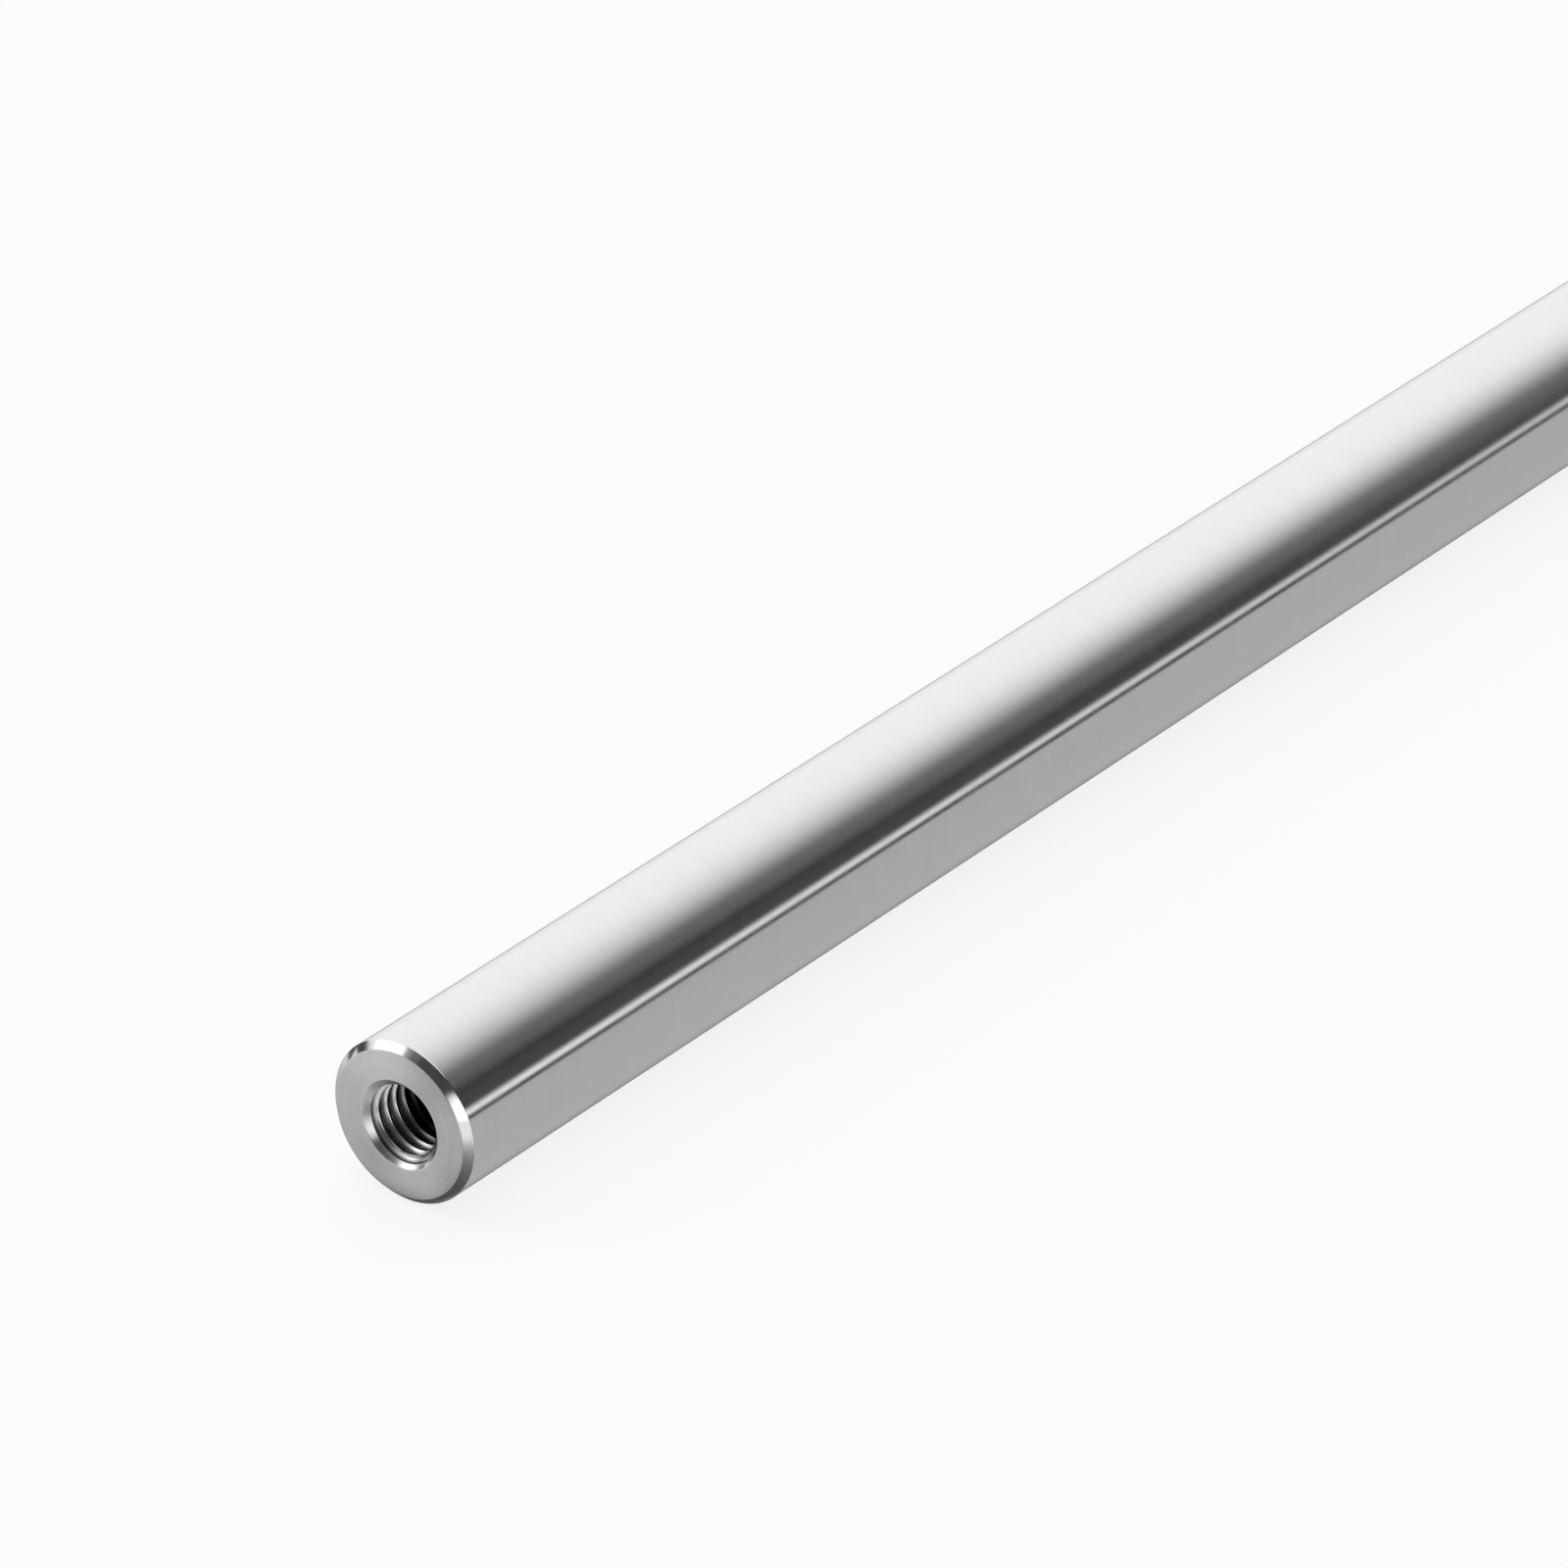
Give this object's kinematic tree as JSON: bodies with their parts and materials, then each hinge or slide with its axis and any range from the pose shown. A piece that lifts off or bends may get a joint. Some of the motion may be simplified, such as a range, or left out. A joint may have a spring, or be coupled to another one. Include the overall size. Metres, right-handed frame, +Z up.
{
  "type": "linear shaft",
  "caption": "Ground and polished round steel guide shaft with chamfered ends and a countersunk, tapped blind hole in one end.",
  "frame": {"origin": "on the shaft's axis, halfway along its length", "axes": "+X along the axis, away from the tapped end, which is at -X; +Z up as it lies"},
  "size_m": [0.3, 0.02, 0.02],
  "materials": {
    "shaft": "ground and polished hard chrome on steel, turned bare ends"
  },
  "bodies": {
    "root": {"linear_shaft": "shaft"}
  },
  "joints": []
}
